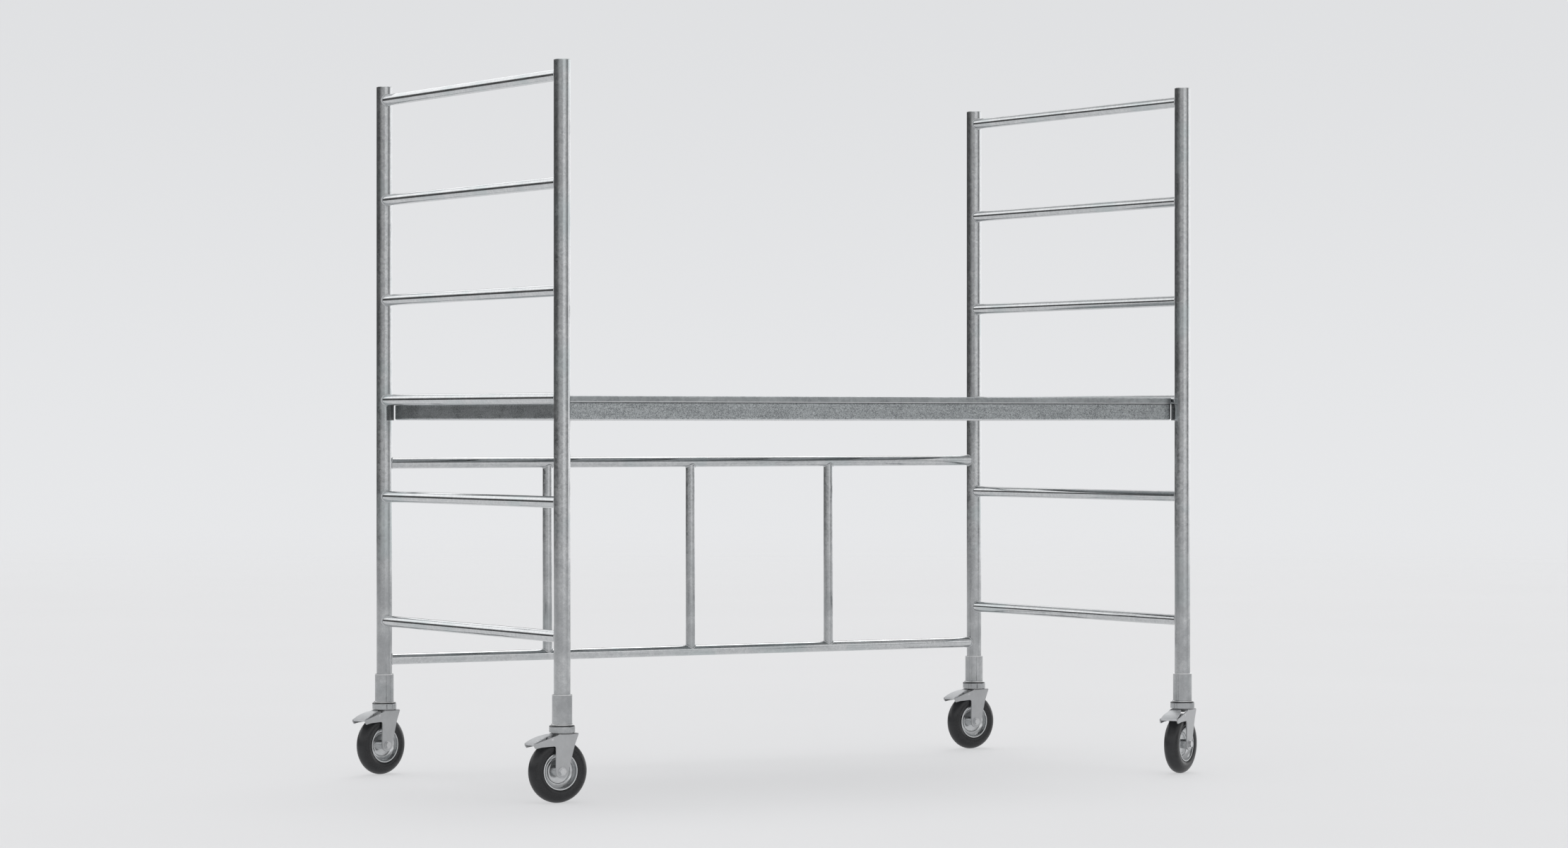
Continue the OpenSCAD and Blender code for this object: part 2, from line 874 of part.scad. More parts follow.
// Kingpins: a domed head under each crown, a nut on top of each cover's plate
module kingpins() {
    head_top_z = crown_under_z - turn_gap;
    nut_z = cover_top_z;
    pin_top_z = nut_z + kingpin_nut_h + kingpin_stub;
    color("gray")
        for (c = [0 : 3])
            at_corner(c) {
                translate([0, 0, head_top_z - kingpin_head_h])
                    cylinder(
                        h = kingpin_head_h,
                        r1 = kingpin_head_r - kingpin_head_bevel,
                        r2 = kingpin_head_r
                    );
                translate([0, 0, head_top_z - over])
                    cylinder(h = pin_top_z - head_top_z + over, r = kingpin_r);
                translate([0, 0, nut_z])
                    cylinder(h = kingpin_nut_h, r = kingpin_head_r, $fn = 6);
            }
}

// ---------- nodes ----------

for (c = [0 : 3]) {
    upright(c);
    at_corner(c) socket();
    at_corner(c) swivel_bearing();
    at_corner(c) fork();
    at_corner(c) tyre();
    at_corner(c) rim();
    at_corner(c) axle();
    at_corner(c) brake_pedal();
    at_corner(c) pedal_pin();
}
for (side = [0, 1], n = RUNGS) {
    rung(side, n);
}
deck_gussets();
panel_rail(panel_top_z);  // rear_top_rail
panel_rail(panel_bottom_z);  // rear_bottom_rail
rear_posts();
kingpins();
deck_sheet_piece();  // deck_sheet
deck_side_rail(-1);  // deck_front_rail
deck_side_rail(1);  // deck_rear_rail
deck_end_rail(0);  // deck_left_end
deck_end_rail(1);  // deck_right_end
deck_bearers();
deck_bolts();
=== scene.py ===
"""Finishes a rolling baker scaffold: zinc-coated steel, rubber tyres, weld beads and a soft studio."""

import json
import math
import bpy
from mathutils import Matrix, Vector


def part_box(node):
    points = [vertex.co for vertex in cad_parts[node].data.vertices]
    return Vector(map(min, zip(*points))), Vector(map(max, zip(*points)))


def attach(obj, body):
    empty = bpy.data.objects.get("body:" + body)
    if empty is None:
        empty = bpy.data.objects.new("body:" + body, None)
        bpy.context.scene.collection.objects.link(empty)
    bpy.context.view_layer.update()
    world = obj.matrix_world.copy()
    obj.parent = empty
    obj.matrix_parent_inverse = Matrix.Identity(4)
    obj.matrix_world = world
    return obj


bl_info = {
    "name": "Baker Scaffold",
    "version": (1, 0, 0),
    "blender": (4, 5, 0),
    "location": "3D View > Sidebar > Scaffold",
    "description": "Gives a baker scaffold its galvanised steel, rubber tyres, weld beads and studio",
    "category": "Object",
}

import bmesh
import bpy
from bpy.props import FloatProperty, FloatVectorProperty, IntProperty, PointerProperty
from mathutils import Vector

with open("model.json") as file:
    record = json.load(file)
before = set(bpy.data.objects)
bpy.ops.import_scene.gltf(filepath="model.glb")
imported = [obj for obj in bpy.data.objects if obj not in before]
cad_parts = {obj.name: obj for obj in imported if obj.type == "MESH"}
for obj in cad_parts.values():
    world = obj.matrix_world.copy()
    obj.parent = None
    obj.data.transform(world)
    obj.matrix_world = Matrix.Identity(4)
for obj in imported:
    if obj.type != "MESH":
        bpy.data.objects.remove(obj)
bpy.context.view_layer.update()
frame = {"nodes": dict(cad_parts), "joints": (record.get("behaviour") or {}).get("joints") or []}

CORNERS = ("front_left", "rear_left", "rear_right", "front_right")
ENDS = ("left", "right")
RUNGS = range(1, 7)
RAILS = ("rear_top_rail", "rear_bottom_rail")
FIXED = "frame"

AXES = {"x": Vector((1, 0, 0)), "y": Vector((0, 1, 0)), "z": Vector((0, 0, 1))}

# Lengths in metres that the frame doesn't give.
SLEEVE_LENGTH = 0.0725
DARKENING_FOOT = 0.26
DARKENING_TOP = 0.85
TREAD_DEPTH = 0.010
RIDGE_HALF_WIDTH = 0.0022

# Radians for each metre out from the axle, which gives a mould ring about every 2.4 mm.
MOULD_RINGS = 2600.0

# Colours of wear, and of painted highlights and painted shade on the deck's edges.
FOLD_HIGHLIGHT = (0.86, 0.87, 0.875, 1.0)
RIM_SHADOW = (0.06, 0.062, 0.066, 1.0)
RIM_SHADE = (0.14, 0.146, 0.15, 1.0)
HEM_HIGHLIGHT = (0.90, 0.905, 0.91, 1.0)
BOOT_SCUFF = (0.76, 0.77, 0.775, 1.0)
PLATING_SCUFF = (0.42, 0.425, 0.43, 1.0)

# Weld beads: places round a tube for each ripple, sides of the bead itself, and how far its
# middle stands off the seam, as a share of its radius.
PLACES_PER_RIPPLE = 6
BEAD_SIDES = 8
BEAD_STAND_OFF = 0.15

# Key light: how it leans and turns, and how wide it is.
KEY_LEAN = math.radians(-38)
KEY_TURN = math.radians(-42)
KEY_WIDTH = math.radians(30)

# The camera's sensor in millimetres, and how far it sees in metres.
SENSOR_WIDTH = 36.0
FAR_CLIP = 2000.0


# ---------- shader maths ----------


class Wire:
    """A socket of a node tree. Expressions on wires add the Math nodes that work them out."""

    def __init__(self, tree, socket=None):
        self.tree = tree
        self.socket = socket

    def make(self, kind, settings=None, values=None, result=0):
        """Adds a node of that kind, sets it up, feeds its sockets and gives back one of its outputs."""
        node = self.tree.nodes.new(kind)
        for name, value in (settings or {}).items():
            if name == "stops":
                ramp = node.color_ramp
                while len(ramp.elements) > 1:
                    ramp.elements.remove(ramp.elements[-1])
                ramp.elements[0].position = value[0][0]
                ramp.elements[0].color = value[0][1]
                for position, colour in value[1:]:
                    ramp.elements.new(position).color = colour
            elif name == "interpolation":
                node.color_ramp.interpolation = value
            else:
                setattr(node, name, value)
        for key, value in (values or {}).items():
            if isinstance(value, Wire):
                self.tree.links.new(value.socket, node.inputs[key])
            else:
                node.inputs[key].default_value = value
        return Wire(self.tree, node.outputs[result]) if node.outputs else None

    def maths(self, operation, *values, clamp=False):
        settings = {"operation": operation, "use_clamp": clamp}
        return self.make("ShaderNodeMath", settings, dict(enumerate(values)))

    def __add__(self, other):
        return self.maths("ADD", self, other)

    def __radd__(self, other):
        return self.maths("ADD", other, self)

    def __sub__(self, other):
        return self.maths("SUBTRACT", self, other)

    def __rsub__(self, other):
        return self.maths("SUBTRACT", other, self)

    def __mul__(self, other):
        return self.maths("MULTIPLY", self, other)

    def __rmul__(self, other):
        return self.maths("MULTIPLY", other, self)

    def __truediv__(self, other):
        return self.maths("DIVIDE", self, other)

    def __rtruediv__(self, other):
        return self.maths("DIVIDE", other, self)

    def clamped(self):
        """This value held between 0 and 1."""
        return self.maths("ADD", self, 0.0, clamp=True)

    def sine(self):
        return self.maths("SINE", self)

    def step(self, low, high, start=0.0, end=1.0):
        """Goes smoothly from start to end while this value goes from low to high."""
        values = {"Value": self, "From Min": low, "From Max": high, "To Min": start, "To Max": end}
        return self.make("ShaderNodeMapRange", {"interpolation_type": "SMOOTHSTEP"}, values)

    def scaled(self, factors):
        """This vector times three factors."""
        return self.make("ShaderNodeVectorMath", {"operation": "MULTIPLY"}, {0: self, 1: factors})

    def part(self, axis):
        """One part of this vector."""
        return self.make("ShaderNodeSeparateXYZ", None, {"Vector": self}, axis.upper())


def mixed(factor, first, second):
    """Mixes two colours, each a wire or four numbers. The factor is a wire."""
    settings = {"data_type": "RGBA", "blend_type": "MIX"}
    return factor.make("ShaderNodeMix", settings, {0: factor, 6: first, 7: second}, 2)


def toned(colour, tone=1.0):
    """A stored colour, made lighter or darker, as the four numbers that a socket takes."""
    return (*(min(1.0, part * tone) for part in colour[:3]), 1.0)


def surface_place(wire):
    """The shaded place in metres, in its own piece's frame."""
    return wire.make("ShaderNodeTexCoord", result="Object")


def noise(place, size, detail=3.0, roughness=0.5, distortion=0.0):
    """Soft noise from 0 to 1 whose lumps are about size metres across."""
    values = {
        "Vector": place,
        "Scale": 1.0 / size,
        "Detail": detail,
        "Roughness": roughness,
        "Distortion": distortion,
    }
    return place.make("ShaderNodeTexNoise", {"noise_dimensions": "3D"}, values, "Fac")


def crystals(place, size):
    """One random grey from 0 to 1 for each zinc crystal, about size metres across."""
    values = {"Vector": place, "Scale": 1.0 / size, "Randomness": 1.0}
    cells = place.make("ShaderNodeTexVoronoi", {"feature": "F1"}, values, "Color")
    return cells.part("x")


def stretched(place, axis, ratio):
    """Squeezes places along one axis, so that noise on them runs out along it."""
    return place.scaled(tuple(1.0 / ratio if name == axis else 1.0 for name in "xyz"))


def bump(height, distance):
    """Turns a height from 0 to 1 into a normal, with distance as the height's depth in metres."""
    values = {"Height": height, "Distance": distance, "Strength": 1.0}
    return height.make("ShaderNodeBump", None, values, "Normal")


def new_material(name):
    """An empty material, its Principled shader and a wire to build on."""
    material = bpy.data.materials.new(name)
    material.use_nodes = True
    tree = material.node_tree
    shader = next(n for n in tree.nodes if n.type == "BSDF_PRINCIPLED")
    return material, shader, Wire(tree)


def feed(shader, **inputs):
    """Feeds a shader's sockets. base_color stands for the socket Base Color, and so on."""
    tree = shader.id_data
    for name, value in inputs.items():
        socket = shader.inputs[name.replace("_", " ").title()]
        if isinstance(value, Wire):
            tree.links.new(value.socket, socket)
        else:
            socket.default_value = value


# ---------- sizes and colours ----------


class ScaffoldZinc(bpy.types.PropertyGroup):
    """Hot-dip zinc on the tubes, sockets and deck."""

    light: FloatVectorProperty(
        name="Light zinc",
        description="Colour of the brightest zinc crystals",
        subtype="COLOR",
        size=3,
        min=0.0,
        max=1.0,
        default=(0.74, 0.75, 0.755),
    )
    dark: FloatVectorProperty(
        name="Dark zinc",
        description="Colour of the dullest zinc crystals",
        subtype="COLOR",
        size=3,
        min=0.0,
        max=1.0,
        default=(0.46, 0.475, 0.485),
    )
    bloom: FloatVectorProperty(
        name="Bloom",
        description="Faint green-blue cast where the zinc has weathered",
        subtype="COLOR",
        size=3,
        min=0.0,
        max=1.0,
        default=(0.50, 0.56, 0.565),
    )
    crystal: FloatProperty(
        name="Crystal size",
        description="Width of a zinc crystal",
        subtype="DISTANCE",
        unit="LENGTH",
        min=0.001,
        max=0.05,
        default=0.007,
    )
    roughness: FloatProperty(
        name="Roughness",
        description="Roughness of the zinc on a tube",
        subtype="FACTOR",
        min=0.0,
        max=1.0,
        default=0.155,
    )


class ScaffoldDeck(bpy.types.PropertyGroup):
    """Rolled and zinc-coated sheet of the deck."""

    light: FloatVectorProperty(
        name="Light sheet",
        description="Colour of the sheet's bright grain",
        subtype="COLOR",
        size=3,
        min=0.0,
        max=1.0,
        default=(0.60, 0.630, 0.640),
    )
    dark: FloatVectorProperty(
        name="Dark sheet",
        description="Colour of the sheet's dull grain",
        subtype="COLOR",
        size=3,
        min=0.0,
        max=1.0,
        default=(0.17, 0.183, 0.190),
    )
    grain: FloatProperty(
        name="Grain",
        description="Width of the sheet's fine grain",
        subtype="DISTANCE",
        unit="LENGTH",
        min=0.0005,
        max=0.02,
        default=0.0019,
    )
    roughness: FloatProperty(
        name="Roughness",
        description="Roughness of the deck's sheet",
        subtype="FACTOR",
        min=0.0,
        max=1.0,
        default=0.30,
    )


class ScaffoldCasters(bpy.types.PropertyGroup):
    """Pressed casters and their wheels."""

    pressing: FloatVectorProperty(
        name="Pressing",
        description="Colour of the matt zinc plating on the forks and pedals",
        subtype="COLOR",
        size=3,
        min=0.0,
        max=1.0,
        default=(0.50, 0.508, 0.516),
    )
    rubber: FloatVectorProperty(
        name="Rubber",
        description="Colour of the tyres",
        subtype="COLOR",
        size=3,
        min=0.0,
        max=1.0,
        default=(0.014, 0.0145, 0.016),
    )
    dust: FloatVectorProperty(
        name="Dust",
        description="Colour of the dust worn into the rubber",
        subtype="COLOR",
        size=3,
        min=0.0,
        max=1.0,
        default=(0.036, 0.037, 0.040),
    )
    rim_ridge: FloatProperty(
        name="Rim ridge",
        description="Radius of the ridge pressed into a rim's disc",
        subtype="DISTANCE",
        unit="LENGTH",
        min=0.02,
        max=0.045,
        default=0.0305,
    )


class ScaffoldWelds(bpy.types.PropertyGroup):
    """Weld beads where tubes meet."""

    radius: FloatProperty(
        name="Bead radius",
        description="Radius of a weld bead",
        subtype="DISTANCE",
        unit="LENGTH",
        min=0.0005,
        max=0.005,
        default=0.0019,
    )
    ripple: FloatProperty(
        name="Ripple",
        description="How much a bead swells and shrinks along its length",
        subtype="FACTOR",
        min=0.0,
        max=0.5,
        default=0.16,
    )
    ripples: IntProperty(
        name="Ripples",
        description="Number of ripples round one tube",
        min=4,
        max=80,
        default=26,
    )


class ScaffoldStudio(bpy.types.PropertyGroup):
    """Floor, light and camera."""

    floor: FloatVectorProperty(
        name="Floor",
        description="Colour of the floor",
        subtype="COLOR",
        size=3,
        min=0.0,
        max=1.0,
        default=(0.374, 0.375, 0.379),
    )
    backdrop: FloatVectorProperty(
        name="Backdrop",
        description="Colour behind the scaffold",
        subtype="COLOR",
        size=3,
        min=0.0,
        max=1.0,
        default=(0.763, 0.770, 0.784),
    )
    floor_radius: FloatProperty(
        name="Floor radius",
        description="Radius of the floor",
        subtype="DISTANCE",
        unit="LENGTH",
        min=10.0,
        max=2000.0,
        default=900.0,
    )
    fade_start: FloatProperty(
        name="Fade start",
        description="Distance at which the floor begins to fade into the backdrop",
        subtype="DISTANCE",
        unit="LENGTH",
        min=5.0,
        max=500.0,
        default=9.0,
    )
    glow: FloatProperty(
        name="Floor glow",
        description="Light that the floor gives by itself, which softens the shadows on it",
        min=0.0,
        max=3.0,
        default=1.30,
    )
    ceiling: FloatProperty(
        name="Ceiling light",
        description="Brightness of the soft light overhead",
        min=0.0,
        max=5.0,
        default=1.08,
    )
    sun: FloatProperty(
        name="Key light",
        description="Strength of the large soft key light",
        min=0.0,
        max=5.0,
        default=0.48,
    )
    eye: FloatVectorProperty(
        name="Camera place",
        description="Where the camera stands",
        subtype="XYZ",
        unit="LENGTH",
        size=3,
        default=(-5.714, -9.861, 0.9006),
    )
    heading: FloatProperty(
        name="Camera heading",
        description="Direction that the camera looks in, clockwise from +Y",
        subtype="ANGLE",
        unit="ROTATION",
        default=math.radians(30.09),
    )
    lens: FloatProperty(
        name="Lens",
        description="Focal length of the camera on a 36 mm wide sensor",
        subtype="DISTANCE_CAMERA",
        unit="CAMERA",
        min=10.0,
        max=400.0,
        default=101.43,
    )


# ---------- materials ----------


def galvanised_tube(name, axis, roughness_shift=0.0, tone=1.0, painted_rings=()):
    """Dip-galvanised tube: crystals, clouds and drainage streaks that run along the tube's axis.

    The rings given are painted highlights and painted shadows round an upright tube: a height, a half
    width and a brightness for each.
    """
    zinc = bpy.context.scene.scaffold_zinc
    material, shader, wire = new_material(name)
    place = surface_place(wire)
    along = stretched(place, axis, 14.0)
    flake = crystals(place, zinc.crystal)
    small_flake = crystals(place, zinc.crystal * 0.42)
    cloud = noise(place, 0.055, 4.0, 0.6)
    streak = noise(along, 0.006, 3.0, 0.55)
    grain = noise(place, 0.0016, 2.0)
    bright = 0.50 + (flake - 0.5) * 0.30 + (small_flake - 0.5) * 0.22
    bright = bright + (cloud - 0.5) * 0.60 + (streak - 0.5) * 0.50 + (grain - 0.5) * 1.05
    colour = mixed(bright.clamped(), toned(zinc.dark, tone), toned(zinc.light, tone))
    weathered = noise(place, 0.16, 3.0, 0.5, 0.4).step(0.50, 0.68, 0.0, 0.55)
    colour = mixed(weathered, colour, toned(zinc.bloom, tone))
    if axis == "z":
        # Uprights are darker towards the bottom, in patches.
        patches = cloud.step(0.3, 0.75, 1.5, 0.3) + streak * 0.4
        lower_darkening = place.part("z").step(DARKENING_FOOT, DARKENING_TOP, 0.42, 0.0) * patches
        colour = mixed(lower_darkening.clamped(), colour, toned(zinc.dark, 0.62))
    # Rings of painted highlight and painted shadow.
    for level, half_width, grey in painted_rings:
        offset = place.part("z") - level
        ring = offset.maths("ABSOLUTE", offset).step(half_width * 1.3, half_width * 0.7, 0.0, 0.85)
        colour = mixed(ring, colour, (grey, grey, grey, 1.0))
    dull = (flake - 0.5) * 0.06 + (cloud - 0.5) * 0.16 + weathered * 0.08
    height = cloud * 1.1 + streak * 0.30 + grain * 0.02
    feed(
        shader,
        base_color=colour,
        metallic=0.93,
        roughness=dull + (zinc.roughness + roughness_shift),
        normal=bump(height, 0.00022 if painted_rings else 0.00010),
    )
    return material


def galvanised_sheet(name, axis):
    """Zinc-coated sheet with a fine grain and faint roller marks along one axis."""
    deck = bpy.context.scene.scaffold_deck
    material, shader, wire = new_material(name)
    place = surface_place(wire)
    grain = noise(place, deck.grain, 2.0, 0.6)
    flake = crystals(place, deck.grain * 1.4)
    cloud = noise(place, 0.07, 4.0, 0.6)
    roll = noise(stretched(place, axis, 30.0), 0.004, 2.0)
    bright = 0.5 + (grain - 0.5) * 2.4 + (flake - 0.5) * 0.5
    bright = bright + (cloud - 0.5) * 0.35 + (roll - 0.5) * 0.4
    colour = mixed(bright.clamped(), toned(deck.dark), toned(deck.light))
    # A painted highlight along the bottom fold, and a painted shadow on the rail just under the sheet's
    # rim.
    up = place.part("z")
    rail_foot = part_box("deck_front_rail")[0].z
    # Painted highlight: the rail's bottom fold is lightened.
    fold = 1.0 - up.step(rail_foot + 0.001, rail_foot + 0.0035)
    colour = mixed(fold * 0.85, colour, FOLD_HIGHLIGHT)
    rim_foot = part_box("deck_sheet")[0].z
    # Painted shadow: the rail is darkened just under the sheet's rim.
    shade = up.step(rim_foot - 0.0050, rim_foot - 0.0020)
    colour = mixed(shade * 0.6, colour, RIM_SHADOW)
    dull = (cloud - 0.5) * 0.2 + (grain - 0.5) * 0.2
    height = cloud * 1.2 + grain * 0.35
    feed(
        shader,
        base_color=colour,
        metallic=0.9,
        roughness=dull + deck.roughness,
        normal=bump(height, 0.00010),
    )
    return material


def deck_top(name):
    """The standing surface: the deck's sheet, scuffed pale and dark by boots and buckets."""
    deck = bpy.context.scene.scaffold_deck
    material, shader, wire = new_material(name)
    place = surface_place(wire)
    grain = noise(place, deck.grain, 2.0, 0.6)
    flake = crystals(place, 0.009)
    cloud = noise(place, 0.11, 5.0, 0.62)
    bright = 0.56 + (grain - 0.5) * 0.8 + (flake - 0.5) * 0.25 + (cloud - 0.5) * 0.6
    colour = mixed(bright.clamped(), toned(deck.dark), toned(deck.light))
    lengthwise = noise(stretched(place, "x", 26.0), 0.0035, 2.0, 0.5, 0.6)
    crosswise = noise(stretched(place, "y", 18.0), 0.0045, 2.0, 0.5, 0.6)
    worn = noise(place, 0.35, 3.0, 0.55).step(0.42, 0.62)
    scuffs = (lengthwise.step(0.60, 0.72) + crosswise.step(0.63, 0.74)) * worn
    scuffs = (scuffs * 0.45).clamped()
    colour = mixed(scuffs, colour, BOOT_SCUFF)
    # Painted shade darkens the rim below its rounded top edge, and a painted highlight brightens its
    # hem.
    low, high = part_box("deck_sheet")
    up = place.part("z")
    # Painted shade on the rim's face below its top edge.
    rim = 1.0 - up.step(high.z - 0.0035, high.z - 0.0018)
    colour = mixed(rim * 0.24, colour, RIM_SHADE)
    # Painted highlight along the hem's lower edge.
    hem = 1.0 - up.step(low.z + 0.0009, low.z + 0.0016)
    colour = mixed(hem * 0.85, colour, HEM_HIGHLIGHT)
    dull = (cloud - 0.5) * 0.2 + (grain - 0.5) * 0.2 - scuffs * 0.12
    height = cloud * 1.2 + grain * 0.4 - scuffs * 0.5
    feed(
        shader,
        base_color=colour,
        metallic=0.9,
        roughness=dull + (deck.roughness + 0.04),
        normal=bump(height, 0.00010),
    )
    return material


def plated_pressing(name, tone=1.0):
    """Matt zinc plating on pressed steel: an even pale grey with a fine drawn grain and small scuffs."""
    casters = bpy.context.scene.scaffold_casters
    material, shader, wire = new_material(name)
    place = surface_place(wire)
    cloud = noise(place, 0.022, 4.0, 0.6)
    drawn = noise(stretched(place, "z", 5.0), 0.0022, 3.0, 0.6)
    speck = noise(place, 0.0012, 2.0)
    bright = 0.5 + (cloud - 0.5) * 0.8 + (drawn - 0.5) * 0.5 + (speck - 0.5) * 0.3
    dull, pale = toned(casters.pressing, 0.84 * tone), toned(casters.pressing, 1.14 * tone)
    colour = mixed(bright.clamped(), dull, pale)
    scuff = noise(place, 0.010, 5.0, 0.7, 1.2).step(0.63, 0.70, 0.0, 0.5)
    colour = mixed(scuff, colour, PLATING_SCUFF)
    feed(
        shader,
        base_color=colour,
        metallic=0.55,
        roughness=(cloud - 0.5) * 0.2 + (speck - 0.5) * 0.1 + scuff * 0.1 + 0.42,
        normal=bump(cloud * 0.8 + drawn * 0.12 + speck * 0.06, 0.00012),
    )
    return material


def bright_steel(name, tone, roughness):
    """Bright plated steel of bolts, pins and bearing balls, with fine turning marks."""
    material, shader, wire = new_material(name)
    place = surface_place(wire)
    cloud = noise(place, 0.006, 3.0)
    turned = noise(place, 0.0009, 2.0)
    bright = (cloud - 0.5) * 0.6 + (turned - 0.5) * 0.5 + 0.5
    dull = (tone * 0.74, tone * 0.75, tone * 0.76, 1.0)
    pale = (tone, tone * 1.01, tone * 1.02, 1.0)
    feed(
        shader,
        base_color=mixed(bright.clamped(), dull, pale),
        metallic=0.95,
        roughness=(turned - 0.5) * 0.16 + roughness,
        normal=bump(turned * 0.4 + cloud, 0.00012),
    )
    return material


def from_axle(wire, centre, axle):
    """The shaded place, and its distance in metres from a wheel's axle line."""
    place = surface_place(wire)
    subtract = {"operation": "SUBTRACT"}
    offset = place.make("ShaderNodeVectorMath", subtract, {0: place, 1: tuple(centre)})
    cross = {"operation": "CROSS_PRODUCT"}
    turned = offset.make("ShaderNodeVectorMath", cross, {0: offset, 1: tuple(axle)})
    length = {"operation": "LENGTH"}
    return place, turned.make("ShaderNodeVectorMath", length, {0: turned}, "Value")


def rim_steel(name, centre, axle):
    """Galvanised rim: crystals, and a ridge pressed round its disc with a painted highlight along it."""
    zinc = bpy.context.scene.scaffold_zinc
    ridge_r = bpy.context.scene.scaffold_casters.rim_ridge
    material, shader, wire = new_material(name)
    place, radius = from_axle(wire, centre, axle)
    flake = crystals(place, 0.0055)
    cloud = noise(place, 0.02, 4.0, 0.6)
    grain = noise(place, 0.0012, 2.0)
    rise = radius.step(ridge_r - RIDGE_HALF_WIDTH, ridge_r)
    ridge = rise * (1.0 - radius.step(ridge_r, ridge_r + RIDGE_HALF_WIDTH))
    seat = 1.0 - radius.step(ridge_r - 0.0075, ridge_r - 0.0045)
    bright = 0.62 + (flake - 0.5) * 0.14 + (cloud - 0.5) * 0.6 + (grain - 0.5) * 0.2
    # Painted highlight: the ridge's colour is made lighter.
    bright = (bright + ridge * 0.25).clamped()
    feed(
        shader,
        base_color=mixed(bright, toned(zinc.dark), toned(zinc.light)),
        metallic=0.92,
        roughness=(flake - 0.5) * 0.05 + (cloud - 0.5) * 0.10 + 0.22,
        normal=bump(ridge * 5.0 + seat * 1.6 + cloud * 0.15, 0.00030),
    )
    return material


def tyre_rubber(name, centre, axle, wheel_r):
    """Solid rubber: smooth charcoal, dustier and duller round the tread, with faint mould rings."""
    casters = bpy.context.scene.scaffold_casters
    material, shader, wire = new_material(name)
    place, radius = from_axle(wire, centre, axle)
    cloud = noise(place, 0.018, 4.0, 0.6)
    grain = noise(place, 0.0011, 2.0, 0.6)
    scuff = noise(place, 0.006, 5.0, 0.7, 0.8)
    tread = radius.step(wheel_r - TREAD_DEPTH, wheel_r - 0.0005)
    rings = (radius * MOULD_RINGS).sine()
    dusty = tread * 0.35 + cloud.step(0.45, 0.8, 0.0, 0.4) + scuff.step(0.56, 0.7, 0.0, 0.25)
    dusty = dusty.clamped()
    feed(
        shader,
        base_color=mixed(dusty, toned(casters.rubber), toned(casters.dust)),
        metallic=0.0,
        roughness=dusty * 0.20 + (grain - 0.5) * 0.10 + 0.27,
        normal=bump(grain * 0.3 + cloud + rings * 0.04, 0.00012),
    )
    shader.inputs["Specular IOR Level"].default_value = 0.45
    return material


def weld_metal(name):
    """Weld bead under zinc: lumpy and a little brighter than the tube."""
    zinc = bpy.context.scene.scaffold_zinc
    material, shader, wire = new_material(name)
    place = surface_place(wire)
    cloud = noise(place, 0.009, 3.0)
    grain = noise(place, 0.0014, 3.0, 0.6)
    bright = 0.6 + (cloud - 0.5) * 0.7 + (grain - 0.5) * 0.4
    feed(
        shader,
        base_color=mixed(bright.clamped(), toned(zinc.dark), toned(zinc.light)),
        metallic=0.9,
        roughness=(cloud - 0.5) * 0.2 + 0.33,
        normal=bump(grain + cloud, 0.00025),
    )
    return material


def at_corners(part):
    """The nodes of a part that stands at each of the four corners."""
    return [f"{corner}_{part}" for corner in CORNERS]


def finish(material, *nodes):
    """Puts a material on these CAD nodes."""
    for name in nodes:
        piece = frame["nodes"][name]
        if not piece.material_slots:
            piece.data.materials.append(material)
        for slot in piece.material_slots:
            slot.material = material


def middle(node):
    """Centre of a CAD node's box."""
    low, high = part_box(node)
    return (low + high) / 2


def tube_radius(node, axis):
    """Outside radius of a round CAD node, measured along one axis across it."""
    low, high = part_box(node)
    return (high[axis] - low[axis]) / 2


def joint_axis(name):
    """The line that a joint turns about, as a point and a direction."""
    joint = next(j for j in frame["joints"] if j["name"] == name)
    return Vector(joint["pos_m"]), Vector(joint["axis"]).normalized()


class SCAFFOLD_OT_finish_tubes(bpy.types.Operator):
    """Galvanise the uprights, rungs and panel tubes"""

    bl_idname = "scaffold.finish_tubes"
    bl_label = "Galvanise Tubes"

    def execute(self, context):
        standing = galvanised_tube("galvanised_upright", "z")
        finish(standing, *at_corners("upright"), "rear_posts")
        # Painted shade: the gussets take the tube zinc at 0.30 of its brightness, dark as the shaded
        # corners they sit in.
        gusset = galvanised_tube("gusset_zinc_painted_shade", "z", roughness_shift=0.12, tone=0.30)
        finish(gusset, "deck_gussets")
        crossing = galvanised_tube("galvanised_rung", "y", roughness_shift=-0.06)
        finish(crossing, *(f"{end}_rung_{n}" for end in ENDS for n in RUNGS))
        finish(galvanised_tube("galvanised_rail", "x", roughness_shift=-0.02), *RAILS)
        return {"FINISHED"}


class SCAFFOLD_OT_finish_deck(bpy.types.Operator):
    """Finish the deck's sheet, rails, bearers and bolts"""

    bl_idname = "scaffold.finish_deck"
    bl_label = "Finish Deck"

    def execute(self, context):
        finish(deck_top("deck_standing_surface"), "deck_sheet")
        finish(galvanised_sheet("deck_rail_sheet", "x"), "deck_front_rail", "deck_rear_rail")
        crossing = galvanised_sheet("deck_end_sheet", "y")
        finish(crossing, "deck_left_end", "deck_right_end", "deck_bearers")
        finish(bright_steel("deck_bolt_steel", tone=0.66, roughness=0.3), "deck_bolts")
        return {"FINISHED"}


class SCAFFOLD_OT_finish_sockets(bpy.types.Operator):
    """Finish the caster sockets with their swivel bearings and kingpins"""

    bl_idname = "scaffold.finish_sockets"
    bl_label = "Finish Sockets"

    def execute(self, context):
        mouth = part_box("front_left_socket")[1].z
        foot = mouth - SLEEVE_LENGTH
        # Painted rings: a painted highlight on the lip over a painted shadow where the sleeve meets its
        # cover, and a painted highlight round the mouth.
        painted_rings = ((foot + 0.0012, 0.0010, 0.9), (foot - 0.0016, 0.0016, 0.03), (mouth, 0.0012, 0.92))
        sleeve = galvanised_tube("galvanised_socket", "z", roughness_shift=-0.02, tone=0.90, painted_rings=painted_rings)
        finish(sleeve, *at_corners("socket"))
        inner = bright_steel("bearing_steel", tone=0.42, roughness=0.32)
        finish(inner, *at_corners("swivel_bearing"), "kingpins")
        return {"FINISHED"}


